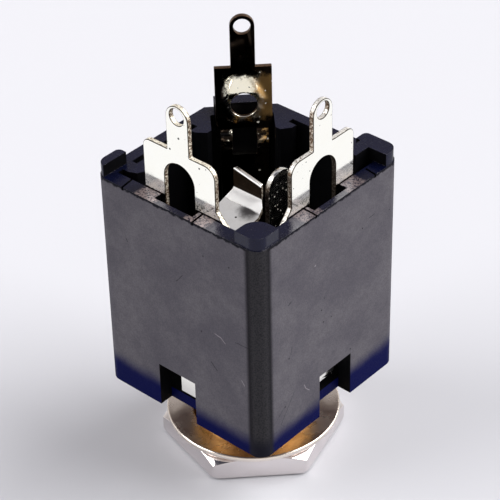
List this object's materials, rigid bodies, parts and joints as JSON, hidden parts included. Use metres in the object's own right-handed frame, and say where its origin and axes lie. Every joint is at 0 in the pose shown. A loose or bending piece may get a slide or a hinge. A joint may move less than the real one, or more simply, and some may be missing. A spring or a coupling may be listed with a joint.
{
  "type": "phone jack",
  "caption": "Three-pole panel-mount phone jack with an enclosed square housing, threaded bushing with hexagon nut and washer, and solder terminals with eyelets at the open rear",
  "frame": {"origin": "jack axis at the level of the bushing's front end, on which the part stands", "axes": "+Z along the jack axis from the plug opening to the solder terminals; the tip terminal is on the -X wall and the ring terminal on the -Y wall"},
  "size_m": [0.016, 0.016, 0.0338],
  "materials": {
    "black_moulding": "satin moulded",
    "turned_brass": "turned",
    "nickel_plate": "polished nickel plate",
    "plated_sheet": "bright plate"
  },
  "bodies": {
    "jack": {"housing": "black_moulding", "bushing": "turned_brass", "tip_contact": "plated_sheet", "ring_contact": "plated_sheet", "sleeve_contact": "plated_sheet"},
    "washer": {"washer": "nickel_plate"},
    "nut": {"nut": "nickel_plate"}
  },
  "joints": [
    {"name": "washer_lift", "type": "slide", "parent": "jack", "child": "washer", "axis": [0, 0, 1], "range_m": [0, 0.00349]},
    {"name": "nut_turn", "type": "hinge", "parent": "washer", "child": "nut", "pos_m": [0, 0, 0.00112], "axis": [0, 0, 1], "range_deg": [0, 1584]}
  ],
  "couplings": [
    {"joint": "nut_turn", "follows": "washer_lift", "rad_per_m": 7913.3}
  ]
}
